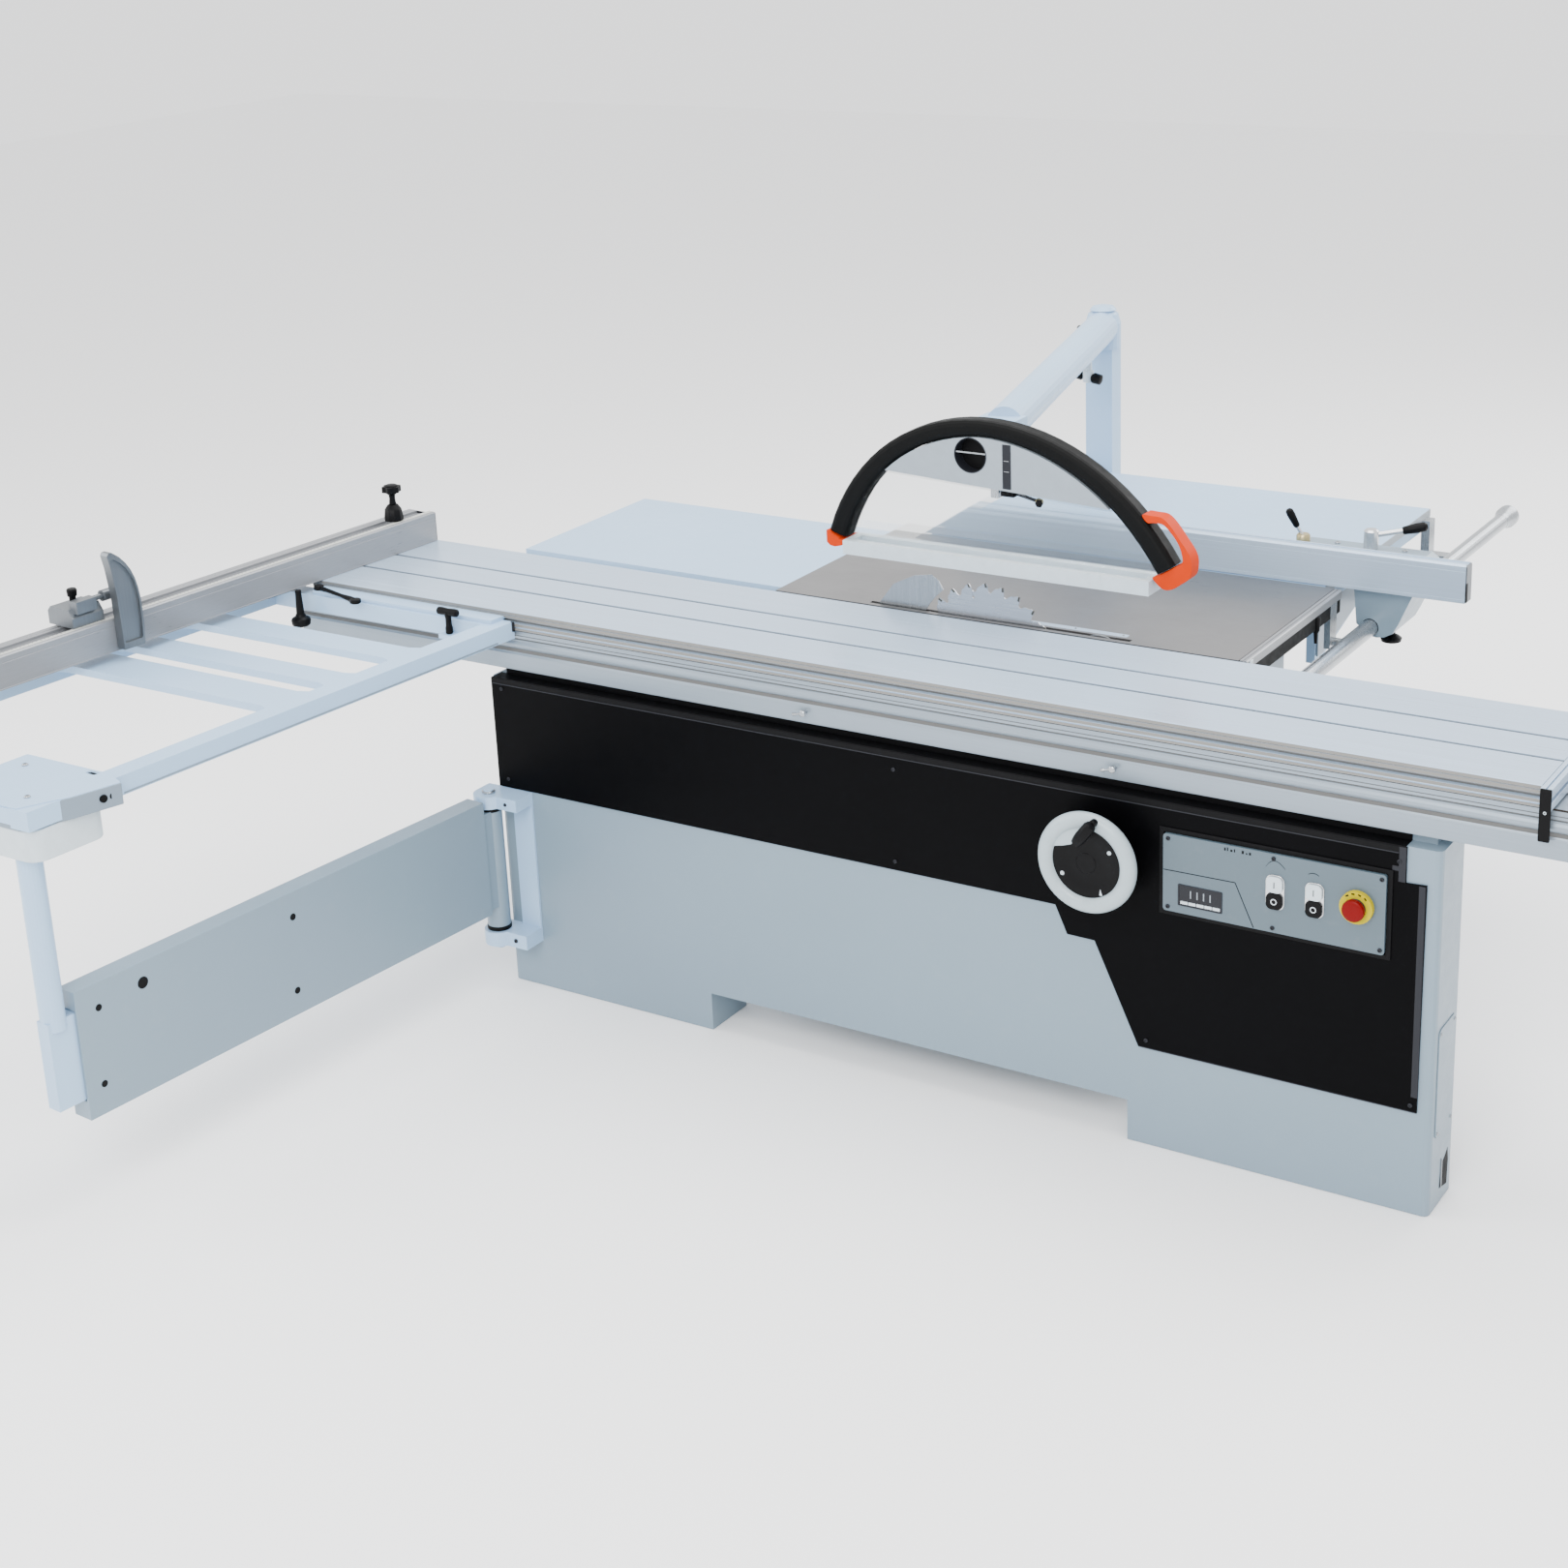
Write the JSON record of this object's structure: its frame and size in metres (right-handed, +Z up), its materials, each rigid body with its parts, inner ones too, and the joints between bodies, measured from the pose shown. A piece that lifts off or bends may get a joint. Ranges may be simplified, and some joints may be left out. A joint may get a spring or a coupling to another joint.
{
  "type": "panel saw",
  "caption": "Sliding-table panel saw with crosscut frame on a swing arm, rip fence on a guide rail, tilting saw unit with scoring blade and overhead guard.",
  "frame": {"origin": "on the floor, under the middle of the front cabinet's left leg", "axes": "+X along the sliding carriage towards the operator's end, +Y from the front cabinet towards the rip fence side, +Z up"},
  "size_m": [3.1494, 3.1425, 1.31],
  "materials": {
    "paint": "satin blue-grey paint",
    "paint_light": "satin pale blue paint",
    "paint_black": "satin black paint",
    "aluminium": "satin anodised extrusion",
    "iron": "ground cast iron",
    "steel": "machined steel",
    "black_plastic": "moulded black plastic",
    "grey_plastic": "moulded light grey plastic",
    "white_plastic": "white plastic",
    "red_plastic": "red plastic",
    "orange_plastic": "orange-red plastic",
    "yellow_plastic": "yellow plastic",
    "clear": "clear polycarbonate sheet",
    "rubber": "black rubber"
  },
  "bodies": {
    "machine": {"base_cabinet": "paint", "front_panel": "paint_black", "lower_rail": "aluminium", "main_table": "iron", "left_table": "paint_light", "rear_table": "paint_light", "guide_rail": "steel", "main_body": "paint", "dust_outlet": "steel", "control_plate": "paint", "estop_ring": "yellow_plastic", "hinge_bracket": "paint", "guard_post": "paint_light"},
    "rear_door": {"rear_door": "paint"},
    "rail_lock_left": {"rail_lock_left": "steel"},
    "rail_lock_right": {"rail_lock_right": "steel"},
    "carriage": {"carriage": "aluminium", "carriage_end": "aluminium"},
    "roller_cage": {"roller_cage": "steel"},
    "crosscut_frame": {"crosscut_frame": "paint_light"},
    "frame_lever_flat": {"frame_lever_flat": "black_plastic"},
    "frame_lever_upright": {"frame_lever_upright": "black_plastic"},
    "crosscut_fence": {"crosscut_fence": "aluminium", "hold_down_bracket": "black_plastic"},
    "fence_extension": {"fence_extension": "aluminium"},
    "fence_knob": {"fence_knob": "black_plastic"},
    "stop_clamp": {"stop_clamp": "aluminium"},
    "flip_stop": {"flip_stop": "aluminium"},
    "hold_down_knob": {"hold_down_knob": "black_plastic"},
    "swing_arm": {"swing_arm": "paint"},
    "arm_tube": {"arm_tube": "paint_light"},
    "saw_cradle": {"saw_cradle": "iron"},
    "saw_carrier": {"saw_carrier": "iron", "motor": "paint", "drive_belt": "rubber", "riving_knife": "steel"},
    "main_arbor": {"main_arbor": "steel", "main_blade": "steel"},
    "scoring_unit": {"scoring_unit": "steel"},
    "motor_pulley": {"motor_pulley": "steel"},
    "start_button_saw": {"start_button_saw": "white_plastic"},
    "stop_button_saw": {"stop_button_saw": "black_plastic"},
    "start_button_scorer": {"start_button_scorer": "white_plastic"},
    "stop_button_scorer": {"stop_button_scorer": "black_plastic"},
    "estop_button": {"estop_button": "red_plastic"},
    "handwheel": {"handwheel": "grey_plastic"},
    "handwheel_handle": {"handwheel_handle": "black_plastic"},
    "fence_base": {"fence_base": "iron"},
    "rip_fence": {"rip_fence": "aluminium"},
    "fence_lever": {"fence_lever": "black_plastic"},
    "fence_rail_lever": {"fence_rail_lever": "steel"},
    "guard_arm": {"guard_arm": "paint_light"},
    "guard_lock_lever": {"guard_lock_lever": "black_plastic"},
    "guard_hood": {"guard_hood": "grey_plastic", "guard_arc": "rubber", "guard_screen": "clear", "guard_bar": "white_plastic", "guard_cap_left": "orange_plastic", "guard_handle": "orange_plastic"}
  },
  "joints": [
    {"name": "carriage_slide", "type": "slide", "parent": "machine", "child": "carriage", "axis": [1, 0, 0], "range_m": [-1.2, 1.2]},
    {"name": "roller_cage_slide", "type": "slide", "parent": "machine", "child": "roller_cage", "axis": [1, 0, 0], "range_m": [-0.6, 0.6]},
    {"name": "frame_slide", "type": "slide", "parent": "carriage", "child": "crosscut_frame", "axis": [1, 0, 0], "range_m": [0, 0.9]},
    {"name": "frame_lever_flat_turn", "type": "hinge", "parent": "crosscut_frame", "child": "frame_lever_flat", "pos_m": [-0.724, -0.095, 0.87], "axis": [0, 0, 1], "range_deg": [-50, 0]},
    {"name": "frame_lever_upright_turn", "type": "hinge", "parent": "crosscut_frame", "child": "frame_lever_upright", "pos_m": [-0.323, -0.127, 0.85], "axis": [0, 0, 1], "range_deg": [-90, 90]},
    {"name": "crosscut_fence_swivel", "type": "hinge", "parent": "crosscut_frame", "child": "crosscut_fence", "pos_m": [-0.765, -0.195, 0.9], "axis": [0, 0, 1], "range_deg": [-39.8, 50.2]},
    {"name": "fence_extension_slide", "type": "slide", "parent": "crosscut_fence", "child": "fence_extension", "axis": [-0.0906, -0.9959, 0], "range_m": [0, 0.75]},
    {"name": "fence_knob_turn", "type": "hinge", "parent": "crosscut_fence", "child": "fence_knob", "pos_m": [-0.738, -0.147, 0.84], "axis": [0, 0, 1], "range_deg": [-180, 180]},
    {"name": "stop_slide", "type": "slide", "parent": "crosscut_fence", "child": "stop_clamp", "axis": [0.0906, 0.9959, 0], "range_m": [-0.5, 0.6]},
    {"name": "flip_stop_turn", "type": "hinge", "parent": "stop_clamp", "child": "flip_stop", "pos_m": [-0.80714, -0.60286, 1], "axis": [-0.0906, -0.9959, 0], "range_deg": [0, 90]},
    {"name": "hold_down_knob_turn", "type": "hinge", "parent": "crosscut_fence", "child": "hold_down_knob", "pos_m": [-0.7464, 0.19693, 1.01], "axis": [0, 0, 1], "range_deg": [-180, 180]},
    {"name": "arm_swing", "type": "hinge", "parent": "machine", "child": "swing_arm", "pos_m": [-0.266, -0.11, 0.3], "axis": [0, 0, 1], "range_deg": [-50, 50]},
    {"name": "arm_extend", "type": "slide", "parent": "swing_arm", "child": "arm_tube", "axis": [-0.0872, -0.9962, 0], "range_m": [0, 0.5]},
    {"name": "saw_tilt", "type": "hinge", "parent": "machine", "child": "saw_cradle", "pos_m": [0.7425, 0.325, 0.88], "axis": [-1, 0, 0], "range_deg": [0, 45]},
    {"name": "saw_height", "type": "slide", "parent": "saw_cradle", "child": "saw_carrier", "axis": [0, 0, 1], "range_m": [-0.085, 0.005]},
    {"name": "arbor_spin", "type": "hinge", "parent": "saw_carrier", "child": "main_arbor", "pos_m": [0.7425, 0.325, 0.8], "axis": [0, 1, 0], "continuous": true},
    {"name": "motor_spin", "type": "hinge", "parent": "saw_carrier", "child": "motor_pulley", "pos_m": [0.97, 0.46, 0.6], "axis": [0, 1, 0], "continuous": true},
    {"name": "scoring_spin", "type": "hinge", "parent": "saw_cradle", "child": "scoring_unit", "pos_m": [1, 0.325, 0.822], "axis": [0, 1, 0], "continuous": true},
    {"name": "handwheel_turn", "type": "hinge", "parent": "machine", "child": "handwheel", "pos_m": [1.191, -0.065, 0.599], "axis": [0, 1, 0], "range_deg": [-1810, 110]},
    {"name": "handwheel_handle_fold", "type": "hinge", "parent": "handwheel", "child": "handwheel_handle", "pos_m": [1.214, -0.1545, 0.69], "axis": [-0.7979, 0, 0.6028], "range_deg": [0, 90]},
    {"name": "start_button_saw_press", "type": "slide", "parent": "machine", "child": "start_button_saw", "axis": [0, 1, 0], "range_m": [0, 0.0022], "stiffness_N_per_m": 600},
    {"name": "stop_button_saw_press", "type": "slide", "parent": "machine", "child": "stop_button_saw", "axis": [0, 1, 0], "range_m": [0, 0.0022], "stiffness_N_per_m": 600},
    {"name": "start_button_scorer_press", "type": "slide", "parent": "machine", "child": "start_button_scorer", "axis": [0, 1, 0], "range_m": [0, 0.0022], "stiffness_N_per_m": 600},
    {"name": "stop_button_scorer_press", "type": "slide", "parent": "machine", "child": "stop_button_scorer", "axis": [0, 1, 0], "range_m": [0, 0.0022], "stiffness_N_per_m": 600},
    {"name": "estop_press", "type": "slide", "parent": "machine", "child": "estop_button", "axis": [0, 1, 0], "range_m": [0, 0.005], "stiffness_N_per_m": 900},
    {"name": "fence_travel", "type": "slide", "parent": "machine", "child": "fence_base", "axis": [0, 1, 0], "range_m": [-0.33, 0.74]},
    {"name": "rip_fence_slide", "type": "slide", "parent": "fence_base", "child": "rip_fence", "axis": [1, 0, 0], "range_m": [-0.35, 0.15]},
    {"name": "fence_lever_turn", "type": "hinge", "parent": "fence_base", "child": "fence_lever", "pos_m": [1.195, 0.92, 0.94], "axis": [0, 0, 1], "range_deg": [-60, 60]},
    {"name": "fence_rail_lever_turn", "type": "hinge", "parent": "fence_base", "child": "fence_rail_lever", "pos_m": [1.33, 0.965, 0.94], "axis": [0, 0, 1], "range_deg": [-60, 45]},
    {"name": "guard_swing", "type": "hinge", "parent": "machine", "child": "guard_arm", "pos_m": [0.425, 1.535, 1.236], "axis": [0, 0, 1], "range_deg": [-15, 60]},
    {"name": "guard_lock_turn", "type": "hinge", "parent": "guard_arm", "child": "guard_lock_lever", "pos_m": [0.4816, 1.335, 1.17], "axis": [0, 0, 1], "range_deg": [-90, 90]},
    {"name": "guard_height", "type": "slide", "parent": "guard_arm", "child": "guard_hood", "axis": [0, 0, 1], "range_m": [-0.018, 0.12]},
    {"name": "rear_door_turn", "type": "hinge", "parent": "machine", "child": "rear_door", "pos_m": [0.493, 0.7345, 0.45], "axis": [0, 0, 1], "range_deg": [0, 110]},
    {"name": "rail_lock_left_turn", "type": "hinge", "parent": "machine", "child": "rail_lock_left", "pos_m": [0.536, -0.065, 0.77], "axis": [0, 1, 0], "range_deg": [-60, 60]},
    {"name": "rail_lock_right_turn", "type": "hinge", "parent": "machine", "child": "rail_lock_right", "pos_m": [1.216, -0.065, 0.77], "axis": [0, 1, 0], "range_deg": [-60, 60]}
  ],
  "couplings": [
    {"joint": "roller_cage_slide", "follows": "carriage_slide", "ratio": 0.5},
    {"joint": "arm_swing", "follows": "carriage_slide", "rad_per_m": 0.68},
    {"joint": "motor_spin", "follows": "arbor_spin", "ratio": 1.1667},
    {"joint": "handwheel_turn", "follows": "saw_height", "rad_per_m": 369.6}
  ]
}
